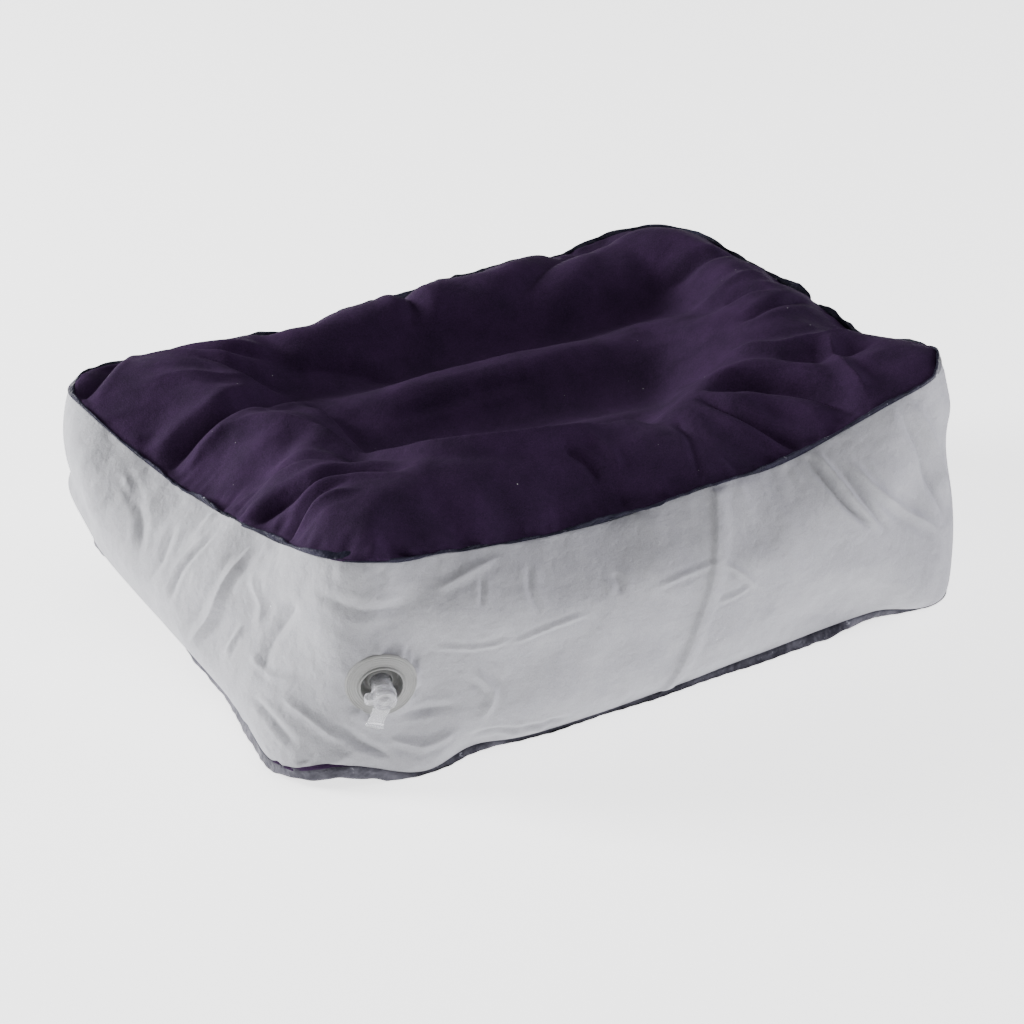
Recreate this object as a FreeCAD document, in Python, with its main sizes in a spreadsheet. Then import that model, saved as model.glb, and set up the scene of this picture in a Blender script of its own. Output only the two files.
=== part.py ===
"""Inflatable foot cushion of flocked PVC sheet, as a parametric FreeCAD document.

A dished top panel and a flat bottom panel are welded to one strip of side wall through two
projecting seam fins. Two tension bands inside tie the panels together and pull the dish down.
Air goes in through a soft stem valve welded to the side wall near the front left corner.

Frame: millimetres, +Z up, +X to the right along the long side, the valve on the -Y side.
The origin is the middle of the flat underside, which rests on the floor at Z = 0.
"""

import FreeCAD, Part

import math
import os
import re

import Sketcher
from FreeCAD import Placement, Rotation, Vector

SIZES = {
    # Shell
    "fin_length": (430, "outer edges of the seam fins, along X"),
    "fin_depth": (290, "outer edges of the seam fins, along Y"),
    "fin_corner": (60, "corner radius of a fin's outer edge"),
    "fin_width": (5, "how far a weld fin stands out"),
    "fin_thickness": (1.6, "two skins welded together"),
    "skin": (0.8, "flocked sheet"),
    "bottom_fin_height": (8, "underside of the bottom fin"),
    "top_fin_height": (120, "underside of the top fin"),
    "wall_bulge": (12, "outside of the wall beyond the weld line"),
    "bulge_height": (80, "height where the wall is widest"),
    "base_round": (7.5, "radius where the bottom panel turns up"),
    "lap_width": (9, "overlap where the ends of the wall strip meet"),
    "lap_offset": (17, "middle of that overlap, along X"),
    # Top panel
    "crown": (22, "rise of the blown-up rim above the weld line"),
    "crown_inset": (60, "how far in from the weld line the rise is complete"),
    "dish_depth": (36, "how far the bands pull the panel down"),
    "dish_reach": (75, "how far from a band the panel is still pulled"),
    "grid_step": (10, "spacing of the points the panel's surface passes through"),
    # Tension bands
    "band_spacing": (90, "between the two bands"),
    "band_length": (200, "stops short of the ends so that air gets round"),
    "band_skin": (0.6, "thickness of a band"),
    "tape_width": (12, "weld tape along a band's edge"),
    "tape_skin": (0.6, "thickness of a weld tape"),
    # Valve, measured from the wall's outside along the valve's own axis
    "valve_height": (59, "middle of the valve above the floor"),
    "valve_bearing": (24, "degrees round the corner from -Y towards -X"),
    "valve_droop": (12, "degrees that the valve's axis points below the horizon"),
    "flange_radius": (19.5, "welded flange"),
    "flange_thickness": (1.4, "welded flange"),
    "cup_radius": (12.3, "outside of the cup that the stem folds into"),
    "cup_skin": (1.2, "wall of the cup"),
    "cup_depth": (8, "floor of the cup below the wall"),
    "cup_lip": (1.9, "lip of the cup above the wall"),
    "fit_gap": (0.05, "clearance between pieces that are welded or snapped together"),
    "stem_radius": (5.8, "outside of the stem"),
    "stem_reach": (11, "mouth of the stem beyond the wall"),
    "stem_inside": (12, "inner end of the stem behind the wall"),
    "stem_gap": (0.2, "clearance of the stem in the cup's floor"),
    "bore_radius": (4, "air way through the stem"),
    "bead_height": (0.5, "bead round the stem below its mouth"),
    "collar_radius": (8, "collar that stops the stem coming out"),
    "collar_thickness": (1.2, "same collar"),
    "flap_radius": (5, "one-way flap over the stem's inner end"),
    "flap_thickness": (0.6, "same flap"),
    "flap_gap": (0.2, "flap to the stem's end"),
    "plug_gap": (0.1, "plug in the bore, and under its head"),
    "plug_nose": (7, "length of plug inside the bore"),
    "plug_taper": (1.5, "length of the nose's tapered end"),
    "head_radius": (6.6, "head of the plug"),
    "head_thickness": (2, "same head"),
    "tab_width": (9, "pull tab"),
    "tab_length": (18.5, "end of the pull tab from the plug's axis"),
    "tab_thickness": (1.5, "pull tab"),
    "grip_width": (10.4, "bar across the end of the tab"),
    "grip_depth": (2, "same bar, along the tab"),
    "grip_thickness": (2.6, "same bar"),
    "strap_width": (4, "strap that keeps the plug on the stem"),
    "strap_thickness": (1, "same strap"),
    "strap_reach": (7.7, "middle of the strap's bend from the valve's axis"),
    "strap_gap": (0.15, "strap to the plug's head"),
    "ring_thickness": (1.1, "strap's ring round the stem"),
    "ring_base": (6.2, "inner edge of the ring beyond the wall"),
    "ring_width": (1.8, "same ring, along the stem"),
}
NEGLIGIBLE = 1e-6
FULL_TURN = 360
SHEET = "Dimensions"

doc = FreeCAD.newDocument("foot_cushion")


def make_sheet():
    """The spreadsheet that holds every driving dimension, in millimetres or degrees."""
    sheet = doc.addObject("Spreadsheet::Sheet", SHEET)
    for row, (alias, (value, note)) in enumerate(SIZES.items(), start=1):
        sheet.set(f"A{row}", alias)
        sheet.set(f"B{row}", str(value))
        sheet.set(f"C{row}", note)
        sheet.setAlias(f"B{row}", alias)
    doc.recompute()
    return sheet


sheet = make_sheet()


def bound(expression):
    """The expression with each alias written as a reference to its cell."""
    return re.sub(r"[a-z_]+", lambda alias: f"{SHEET}.{alias.group()}", expression)


def value(expression):
    """What an expression of aliases comes to now."""
    return float(sheet.evalExpression(bound(expression)))


# ---------------------------------------------------------------- sketches


def new_body(name):
    """An empty body whose label names its file."""
    body = doc.addObject("PartDesign::Body", name)
    body.Label = name
    return body


def new_sketch(body, name, plane="XY_Plane", height=None):
    """A sketch on one of the body's own origin planes, raised by height if that is given."""
    sketch = body.newObject("Sketcher::SketchObject", name)
    origin_plane = next(item for item in body.Origin.OriginFeatures if item.Role == plane)
    sketch.AttachmentSupport = [(origin_plane, "")]
    sketch.MapMode = "FlatFace"
    if height:
        sketch.setExpression("AttachmentOffset.Base.z", bound(height))
    return sketch


def pin(sketch, geometry, end, place):
    """Holds one end of a line or arc at a place given by two expressions."""
    for kind, axis, expression in (("DistanceX", -2, place[0]), ("DistanceY", -1, place[1])):
        amount = value(expression)
        if abs(amount) < NEGLIGIBLE:
            sketch.addConstraint(Sketcher.Constraint("PointOnObject", geometry, end, axis))
            continue
        held = sketch.addConstraint(Sketcher.Constraint(kind, -1, 1, geometry, end, amount))
        sketch.setExpression(f"Constraints[{held}]", bound(expression))


def arc_between(start, finish, radius):
    """The shorter arc from start to finish: anticlockwise, or clockwise if radius is negative."""
    chord = finish - start
    rise = math.sqrt(radius**2 - (chord.Length / 2) ** 2)
    left = Vector(-chord.y, chord.x, 0).normalize()
    centre = (start + finish) / 2 + left * math.copysign(rise, radius)
    circle = Part.Circle(centre, Vector(0, 0, 1), abs(radius))
    angles = [math.atan2(point.y - centre.y, point.x - centre.x) for point in (start, finish)]
    return Part.ArcOfCircle(circle, *(angles if radius > 0 else reversed(angles)))


def add_outline(sketch, steps, closed=True):
    """Draws lines and arcs through the steps: each is (x, y) or (x, y, radius of the arc that leaves it).

    An arc turns anticlockwise, or clockwise where its radius starts with a minus sign.
    """
    places = [Vector(value(step[0]), value(step[1]), 0) for step in steps]
    if closed:
        places.append(places[0])
    previous_end = None
    first_start = None
    for step, start, finish in zip(steps, places, places[1:]):
        if len(step) == 3:
            radius = value(step[2])
            geometry = sketch.addGeometry(arc_between(start, finish, radius))
            ends = (1, 2) if radius > 0 else (2, 1)
            held = sketch.addConstraint(Sketcher.Constraint("Radius", geometry, abs(radius)))
            sketch.setExpression(f"Constraints[{held}]", bound(step[2].lstrip("-")))
        else:
            geometry = sketch.addGeometry(Part.LineSegment(start, finish))
            ends = (1, 2)
        pin(sketch, geometry, ends[0], step)
        if previous_end:
            joined = Sketcher.Constraint("Coincident", *previous_end, geometry, ends[0])
            sketch.addConstraint(joined)
        first_start = first_start or (geometry, ends[0])
        previous_end = (geometry, ends[1])
    if closed:
        sketch.addConstraint(Sketcher.Constraint("Coincident", *previous_end, *first_start))
    else:
        pin(sketch, *previous_end, steps[-1])


def rounded_rectangle(length, depth, corner):
    """Steps of a rounded rectangle about the origin, starting in the middle of its +X side."""
    x, y = f"({length}) / 2", f"({depth}) / 2"
    near_x, near_y = f"({x} - ({corner}))", f"({y} - ({corner}))"
    return [
        (x, "0 * skin"),
        (x, near_y, corner),
        (near_x, y),
        (f"-{near_x}", y, corner),
        (f"-({x})", near_y),
        (f"-({x})", f"-{near_y}", corner),
        (f"-{near_x}", f"-({y})"),
        (near_x, f"-({y})", corner),
        (x, f"-{near_y}"),
    ]


FIN_EDGE = rounded_rectangle("fin_length", "fin_depth", "fin_corner")
WELD_LINE = rounded_rectangle(
    "fin_length - 2 * fin_width", "fin_depth - 2 * fin_width", "fin_corner - fin_width"
)


def add_pad(body, sketch, length):
    """Pads a sketch upwards by an expression's length."""
    pad = body.newObject("PartDesign::Pad", f"{body.Name}_pad")
    pad.Profile = sketch
    pad.setExpression("Length", bound(length))
    return pad


def add_revolution(body, steps):
    """Turns an outline of (radius, height) steps round the body's own Z axis."""
    sketch = new_sketch(body, f"{body.Name}_section", "XZ_Plane")
    add_outline(sketch, steps)
    revolution = body.newObject("PartDesign::Revolution", f"{body.Name}_revolution")
    revolution.Profile = sketch
    revolution.ReferenceAxis = (sketch, ["V_Axis"])
    revolution.Angle = FULL_TURN
    return revolution


# ---------------------------------------------------------------- shell


def make_fin(name, height):
    """A seam fin: the edges of a panel and of the wall, welded flat and standing outwards."""
    body = new_body(name)
    sketch = new_sketch(body, f"{name}_outline", height=height)
    add_outline(sketch, FIN_EDGE)
    add_outline(sketch, WELD_LINE)
    add_pad(body, sketch, "fin_thickness")
    return body


def make_bottom_panel():
    """The underside: a shallow tray, flat where it rests, with its rim against the bottom fin."""
    body = new_body("bottom_panel")
    sketch = new_sketch(body, "bottom_panel_outline")
    add_outline(sketch, WELD_LINE)
    pad = add_pad(body, sketch, "bottom_fin_height + fin_thickness")
    doc.recompute()
    low_edges = [
        f"Edge{number}"
        for number, edge in enumerate(pad.Shape.Edges, start=1)
        if edge.BoundBox.ZMax < NEGLIGIBLE
    ]
    fillet = body.newObject("PartDesign::Fillet", "bottom_panel_round")
    fillet.Base = (pad, low_edges)
    fillet.setExpression("Radius", bound("base_round"))
    doc.recompute()
    top = max(range(len(fillet.Shape.Faces)), key=lambda face: fillet.Shape.Faces[face].BoundBox.ZMin)
    shell = body.newObject("PartDesign::Thickness", "bottom_panel_skin")
    shell.Base = (fillet, [f"Face{top + 1}"])
    shell.setExpression("Value", bound("skin"))
    shell.Reversed = 1
    return body


def make_wall_band(name, inside, outside):
    """A bulged band that follows the weld line, between two distances outside the weld line."""
    low = "bottom_fin_height + fin_thickness"
    start = "fin_length / 2 - fin_width"
    bulge = "(wall_bulge - skin)"

    def radius(rise):
        return f"({bulge} * {bulge} + ({rise}) * ({rise})) / (2 * {bulge})"

    lower, upper = radius(f"bulge_height - ({low})"), radius("top_fin_height - bulge_height")
    body = new_body(name)
    path = new_sketch(body, f"{name}_path")
    add_outline(path, WELD_LINE)
    section = new_sketch(body, f"{name}_section", "XZ_Plane")
    steps = [
        (f"{start} + {outside}", low, lower),
        (f"{start} + {outside} + {bulge}", "bulge_height", upper),
        (f"{start} + {outside}", "top_fin_height"),
        (f"{start} + {inside}", "top_fin_height", f"-{upper}"),
        (f"{start} + {inside} + {bulge}", "bulge_height", f"-{lower}"),
        (f"{start} + {inside}", low),
    ]
    add_outline(section, steps)
    pipe = body.newObject("PartDesign::AdditivePipe", f"{name}_sweep")
    pipe.Profile = section
    pipe.Spine = (path, [f"Edge{number + 1}" for number in range(len(WELD_LINE))])
    return body


def wall_distance():
    """From the corner's upright axis to the outside of the wall, at the height of the valve."""
    bulge = value("wall_bulge - skin")
    rise = value("bulge_height - bottom_fin_height - fin_thickness")
    arc_radius = (bulge**2 + rise**2) / (2 * bulge)
    drop = value("bulge_height - valve_height")
    inset = arc_radius - math.sqrt(arc_radius**2 - drop**2)
    return value("fin_corner - fin_width + wall_bulge") - inset


def valve_placement():
    """The valve's frame: its +Z is the way the stem points, and its +X is level."""
    bearing = math.radians(value("valve_bearing"))
    droop = math.radians(value("valve_droop"))
    outward = Vector(-math.sin(bearing), -math.cos(bearing), 0)
    level = Vector(math.cos(bearing), -math.sin(bearing), 0)
    axis = outward * math.cos(droop) - Vector(0, 0, math.sin(droop))
    corner_x = value("fin_corner - fin_length / 2")
    corner_y = value("fin_corner - fin_depth / 2")
    corner_axis = Vector(corner_x, corner_y, value("valve_height"))
    turn = Rotation(level, axis.cross(level), axis, "ZXY")
    return Placement(corner_axis + outward * wall_distance(), turn)


VALVE = valve_placement()


def valve_cylinder(name, radius, reach="cup_radius"):
    """A construction cylinder on the valve's axis that passes right through the wall."""
    cylinder = doc.addObject("Part::Cylinder", name)
    cylinder.setExpression("Radius", bound(radius))
    cylinder.setExpression("Height", bound(f"2 * {reach}"))
    cylinder.Placement = VALVE * Placement(Vector(0, 0, -value(reach)), Rotation())
    return cylinder


def boolean(kind, name, base, tool):
    """A Part::Cut or Part::Common of two objects, named for its file."""
    result = doc.addObject(kind, name)
    result.Label = name
    result.Base = base
    result.Tool = tool
    return result


def make_lap():
    """The end of the wall strip, where it overlaps its own beginning in the middle of the front."""
    band = make_wall_band("lap_strip", "skin", "2 * skin")
    window = doc.addObject("Part::Box", "lap_window")
    window.setExpression("Length", bound("lap_width"))
    window.setExpression("Width", bound("fin_depth"))
    window.setExpression("Height", bound("top_fin_height"))
    window.setExpression("Placement.Base.x", bound("lap_offset - lap_width / 2"))
    window.setExpression("Placement.Base.y", bound("-fin_depth"))
    return boolean("Part::Common", "wall_lap", band, window)


def make_side_wall():
    """The one strip of wall, lapped on itself, with the hole that the valve's cup hangs through."""
    band = make_wall_band("wall_strip", "0 * skin", "skin")
    ring = boolean("Part::Fuse", "lapped_strip", band, make_lap())
    hole = valve_cylinder("valve_hole", "cup_radius + fit_gap")
    return boolean("Part::Cut", "side_wall", ring, hole)


# ---------------------------------------------------------------- top panel and bands


def panel_height(x, y):
    """Height of the top panel's underside above a point: a raised rim round a dish with two troughs."""
    corner = value("fin_corner - fin_width")
    out_x = abs(x) - (value("fin_length / 2 - fin_width") - corner)
    out_y = abs(y) - (value("fin_depth / 2 - fin_width") - corner)
    inset = corner - math.hypot(max(out_x, 0), max(out_y, 0)) - min(max(out_x, out_y), 0)
    rise = value("crown") * math.sin(math.pi / 2 * min(inset / value("crown_inset"), 1))
    beyond = max(abs(x) - value("band_length / 2"), 0)
    pull = 0
    for side in (-1, 1):
        away = math.hypot(beyond, y - side * value("band_spacing / 2"))
        pull += math.cos(math.pi / 2 * min(away / value("dish_reach"), 1)) ** 2
    return value("top_fin_height + fin_thickness - skin") + rise - value("dish_depth") * pull


def panel_surface():
    """A smooth face through the panel's heights, a little larger than the panel."""
    step = value("grid_step")
    across = [round(value("fin_length") / 2 / step), round(value("fin_depth") / 2 / step)]
    rows = [
        [Vector(i * step, j * step, panel_height(i * step, j * step))
         for j in range(-across[1], across[1] + 1)]
        for i in range(-across[0], across[0] + 1)
    ]
    surface = Part.BSplineSurface()
    surface.interpolate(rows)
    return surface.toShape()


PANEL_FACE = panel_surface()


def layer(name, outline, bottom, top):
    """The part of a prism between two heights measured from the top panel's underside."""
    lifted = PANEL_FACE.translated(Vector(0, 0, bottom))
    feature = doc.addObject("Part::Feature", name)
    feature.Label = name
    feature.Shape = lifted.extrude(Vector(0, 0, top - bottom)).common(outline)
    return feature


def block(length, depth, middle_y, bottom, top):
    """A plain block centred on X = 0."""
    corner = Vector(-length / 2, middle_y - depth / 2, bottom)
    return Part.makeBox(length, depth, top - bottom, corner)


def make_top_panel():
    """The dished top, cut to the weld line."""
    body = new_body("weld_line_prism")
    sketch = new_sketch(body, "weld_line_outline")
    add_outline(sketch, WELD_LINE)
    add_pad(body, sketch, "2 * top_fin_height")
    doc.recompute()
    return layer("top_panel", body.Shape, 0, value("skin"))


def make_tapes_and_band(side, middle_y):
    """One tension band: an upright web between two weld tapes, along X."""
    length, width = value("band_length"), value("tape_width")
    skin, tape, web = value("skin"), value("tape_skin"), value("band_skin")
    above = value("2 * top_fin_height")
    strip = block(length, width, middle_y, 0, above)
    top_tape = layer(f"{side}_band_top_tape", strip, -tape, 0)
    low_tape = doc.addObject("Part::Box", f"{side}_band_bottom_tape")
    low_tape.Label = low_tape.Name
    low_tape.setExpression("Length", bound("band_length"))
    low_tape.setExpression("Width", bound("tape_width"))
    low_tape.setExpression("Height", bound("tape_skin"))
    low_tape.Placement = Placement(Vector(-length / 2, middle_y - width / 2, skin), Rotation())
    upright = block(length, web, middle_y, skin + tape, above)
    band = layer(f"{side}_tension_band", upright, -above, -tape)
    return [top_tape, low_tape, band]


# ---------------------------------------------------------------- valve


def make_flange():
    """The welded flange, which follows the wall's curve, with one moulded ring."""
    band = make_wall_band("flange_strip", "skin", "skin + flange_thickness")
    disc = valve_cylinder("flange_disc", "flange_radius")
    hole = valve_cylinder("flange_hole", "cup_radius + fit_gap")
    washer = boolean("Part::Cut", "flange_washer", disc, hole)
    return boolean("Part::Common", "valve_flange", band, washer)


def place_on_valve(body):
    """Puts a body that was drawn about its own axis onto the valve."""
    body.Placement = VALVE
    return body


def make_cup():
    """The soft cup that the stem stands in and folds into."""
    body = new_body("valve_cup")
    floor = "stem_radius + stem_gap"
    add_revolution(body, [
        (floor, "-(cup_depth + cup_skin)"),
        ("cup_radius", "-(cup_depth + cup_skin)"),
        ("cup_radius", "cup_lip"),
        ("cup_radius - cup_skin", "cup_lip"),
        ("cup_radius - cup_skin", "-cup_depth"),
        (floor, "-cup_depth"),
    ])
    return place_on_valve(body)


def make_stem():
    """The stem that air is blown through, with a collar behind the cup and a bead near its mouth."""
    body = new_body("valve_stem")
    collar_top = "-(cup_depth + cup_skin + stem_gap)"
    add_revolution(body, [
        ("bore_radius", "-stem_inside"),
        ("stem_radius", "-stem_inside"),
        ("stem_radius", f"{collar_top} - collar_thickness"),
        ("collar_radius", f"{collar_top} - collar_thickness"),
        ("collar_radius", collar_top),
        ("stem_radius", collar_top),
        ("stem_radius", "stem_reach - 4 * bead_height"),
        ("stem_radius + bead_height", "stem_reach - 3 * bead_height"),
        ("stem_radius + bead_height", "stem_reach - 2 * bead_height"),
        ("stem_radius", "stem_reach - bead_height"),
        ("stem_radius", "stem_reach"),
        ("bore_radius", "stem_reach"),
    ])
    return place_on_valve(body)


def make_flap():
    """The thin flap that closes the stem's inner end."""
    body = new_body("check_flap")
    add_revolution(body, [
        ("0 * skin", "-(stem_inside + flap_gap + flap_thickness)"),
        ("flap_radius", "-(stem_inside + flap_gap + flap_thickness)"),
        ("flap_radius", "-(stem_inside + flap_gap)"),
        ("0 * skin", "-(stem_inside + flap_gap)"),
    ])
    return place_on_valve(body)


def add_tab(body, name, near, far, width, thickness):
    """A flat block of the plug that hangs below its head, centred on the head's thickness."""
    middle = "stem_reach + plug_gap + head_thickness / 2"
    sketch = new_sketch(body, f"{name}_outline", height=f"{middle} - {thickness} / 2")
    add_outline(sketch, [
        (f"-{width} / 2", f"-({far})"),
        (f"{width} / 2", f"-({far})"),
        (f"{width} / 2", f"-({near})"),
        (f"-{width} / 2", f"-({near})"),
    ])
    pad = body.newObject("PartDesign::Pad", f"{name}_pad")
    pad.Profile = sketch
    pad.setExpression("Length", bound(thickness))


def make_plug():
    """The stopper: a tapered nose in the bore, a round head, and a pull tab with a grip bar."""
    body = new_body("valve_plug")
    nose = "bore_radius - plug_gap"
    add_revolution(body, [
        ("0 * skin", "stem_reach - plug_nose"),
        (f"{nose} - plug_taper / 2", "stem_reach - plug_nose"),
        (nose, "stem_reach - plug_nose + plug_taper"),
        (nose, "stem_reach + plug_gap"),
        ("head_radius", "stem_reach + plug_gap"),
        ("head_radius", "stem_reach + plug_gap + head_thickness"),
        ("0 * skin", "stem_reach + plug_gap + head_thickness"),
    ])
    add_tab(body, "pull_tab", "head_radius / 2", "tab_length", "tab_width", "tab_thickness")
    add_tab(body, "grip_bar", "tab_length - grip_depth", "tab_length", "grip_width", "grip_thickness")
    return place_on_valve(body)


def make_strap_path(body):
    """The strap's middle line: out from its ring, round a half turn, and back to the plug's head."""
    ring_middle = "ring_base + ring_width / 2"
    head_middle = "stem_reach + plug_gap + head_thickness / 2"
    bend_radius = f"(({head_middle}) - ({ring_middle})) / 2"
    path = new_sketch(body, "plug_strap_path", "XZ_Plane")
    add_outline(path, [
        ("-(stem_radius + ring_thickness / 2)", ring_middle),
        ("-strap_reach", ring_middle, f"-{bend_radius}"),
        (f"-(strap_reach + {bend_radius})", f"({ring_middle}) + {bend_radius}", f"-{bend_radius}"),
        ("-strap_reach", head_middle),
        ("-(head_radius + strap_gap)", head_middle),
    ], closed=False)
    return path


def make_strap():
    """The strap that keeps the plug on the valve: a ring round the stem and a loop to the head."""
    body = new_body("plug_strap")
    inner = "stem_radius + fit_gap"
    outer = f"{inner} + ring_thickness"
    ring_top = "ring_base + ring_width"
    add_revolution(body, [
        (inner, "ring_base"),
        (outer, "ring_base"),
        (outer, ring_top),
        (inner, ring_top),
    ])
    path = make_strap_path(body)
    section = new_sketch(body, "plug_strap_section", "YZ_Plane")
    section.setExpression("AttachmentOffset.Base.z", bound("-(stem_radius + ring_thickness / 2)"))
    half_width, half_thickness = "strap_width / 2", "strap_thickness / 2"
    middle = "ring_base + ring_width / 2"
    add_outline(section, [
        (f"-{half_width}", f"{middle} - {half_thickness}"),
        (half_width, f"{middle} - {half_thickness}"),
        (half_width, f"{middle} + {half_thickness}"),
        (f"-{half_width}", f"{middle} + {half_thickness}"),
    ])
    pipe = body.newObject("PartDesign::AdditivePipe", "plug_strap_sweep")
    pipe.Profile = section
    pipe.Spine = (path, ["Edge1", "Edge2", "Edge3", "Edge4"])
    return place_on_valve(body)


# ---------------------------------------------------------------- assembly


def make_parts():
    """Every separate piece of the cushion, outside first."""
    half_spacing = value("band_spacing / 2")
    return [
        make_top_panel(),
        make_bottom_panel(),
        make_side_wall(),
        make_fin("top_seam_fin", "top_fin_height"),
        make_fin("bottom_seam_fin", "bottom_fin_height"),
        *make_tapes_and_band("front", -half_spacing),
        *make_tapes_and_band("rear", half_spacing),
        make_flange(),
        make_cup(),
        make_stem(),
        make_flap(),
        make_plug(),
        make_strap(),
    ]


def check(parts):
    """Stops if any object failed to recompute or any piece isn't a valid closed solid."""
    failed = [item.Name for item in doc.Objects if {"Invalid", "Error"} & set(item.State)]
    if failed:
        raise SystemExit(f"these objects failed: {failed}")
    for part in parts:
        shape = part.Shape
        if shape.isNull() or not shape.isValid() or shape.Volume < NEGLIGIBLE:
            raise SystemExit(f"{part.Label} has no valid shape")
        box = shape.BoundBox
        print(f"{part.Label:24s} {len(shape.Solids)} solid, {shape.Volume:10.1f} mm3,"
              f" {box.XLength:6.1f} x {box.YLength:6.1f} x {box.ZLength:6.1f}")


def main():
    parts = make_parts()
    doc.recompute()
    check(parts)
    os.makedirs("parts", exist_ok=True)
    for part in parts:
        part.Shape.exportStep(os.path.join("parts", f"{part.Label}.step"))


main()
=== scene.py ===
"""Looks of the inflatable foot cushion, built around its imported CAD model. Metres, in the CAD frame.

The air bag is cut flat, blown up by a cloth simulation with its tension bands and valve held in
place, then refined: finer grids, creases, seam fins and the moulded valve are added in mesh code.
"""

import math

import bmesh
import bpy
import numpy as np
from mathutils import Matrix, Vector


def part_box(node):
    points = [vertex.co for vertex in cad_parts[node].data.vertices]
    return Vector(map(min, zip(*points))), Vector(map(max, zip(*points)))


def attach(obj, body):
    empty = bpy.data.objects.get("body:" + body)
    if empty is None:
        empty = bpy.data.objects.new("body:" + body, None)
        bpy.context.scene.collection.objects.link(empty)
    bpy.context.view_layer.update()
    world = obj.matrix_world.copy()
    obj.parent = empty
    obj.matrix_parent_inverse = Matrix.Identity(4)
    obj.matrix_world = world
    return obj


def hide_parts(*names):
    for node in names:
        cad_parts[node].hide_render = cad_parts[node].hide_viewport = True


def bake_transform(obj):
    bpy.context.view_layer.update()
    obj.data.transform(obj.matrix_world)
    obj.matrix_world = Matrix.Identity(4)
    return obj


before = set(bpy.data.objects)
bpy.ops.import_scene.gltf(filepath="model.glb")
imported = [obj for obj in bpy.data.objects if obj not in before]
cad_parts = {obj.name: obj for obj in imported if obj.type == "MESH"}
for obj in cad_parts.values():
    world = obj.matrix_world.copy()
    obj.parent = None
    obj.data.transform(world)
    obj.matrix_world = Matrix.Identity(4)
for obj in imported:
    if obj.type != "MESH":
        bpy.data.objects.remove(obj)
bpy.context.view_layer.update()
CUSHION, STEM, PLUG = "cushion", "stem", "plug"
MM = 0.001

# The flat pattern: what the sheets measure before the bag is blown up.
FIN_LOW, FIN_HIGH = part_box("top_seam_fin")
PATTERN_LENGTH = FIN_HIGH[0] - FIN_LOW[0]
PATTERN_DEPTH = FIN_HIGH[1] - FIN_LOW[1]
PATTERN_CORNER = 0.040
WALL_HEIGHT = 0.130

# The grid that is simulated, and how hard it is blown up.
GRID_STEP = 0.0042
SIM_FRAMES = 30
PRESSURE = 300.0
AIR_VOLUME = 0.0166
START_NOISE = 0.0001
SEED = 3

# Where the tension bands hold the top down, as (one end, other end), and its height there. Their
# ends were rounded from places that a separate measuring script printed.
BANDS = (((-0.090, -0.008), (0.078, -0.032)), ((-0.095, 0.078), (0.145, 0.060)))
BAND_TOP = 0.110
BAND_WIDTH = 0.045
BAND_HOLD = 0.55 * GRID_STEP
BASE_HELD = (0.195, 0.125)

# The valve's place on the CAD wall, whose front left corner turns about an upright axis.
VALVE_BEARING = math.radians(24)
VALVE_DROOP = math.radians(12)
WALL_CORNER = (0.060 - PATTERN_LENGTH / 2, 0.060 - PATTERN_DEPTH / 2)
WALL_WIDEST = 0.080
WALL_REACH = 0.067
WALL_ARC = 0.22687
VALVE_HEIGHT = 0.059
VALVE_ALONG = 0.0245
VALVE_HELD = 0.021


def smoothstep(low, high, value):
    """0 up to low, 1 from high, and smooth between."""
    share = np.clip((value - low) / (high - low), 0, 1)
    return share * share * (3 - 2 * share)


# ---------------------------------------------------------------- the flat pattern


def pattern_side(length, count):
    """One side of the cut outline, between the middles of two corner arcs: (along, inset) arrays."""
    half_arc = PATTERN_CORNER * math.pi / 4
    straight = length / 2 - PATTERN_CORNER
    along = np.linspace(-straight - half_arc, straight + half_arc, count + 1)
    turn = np.maximum(np.abs(along) - straight, 0) / PATTERN_CORNER
    place = np.clip(along, -straight, straight) + np.sign(along) * PATTERN_CORNER * np.sin(turn)
    return place, PATTERN_CORNER * (1 - np.cos(turn))


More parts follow.
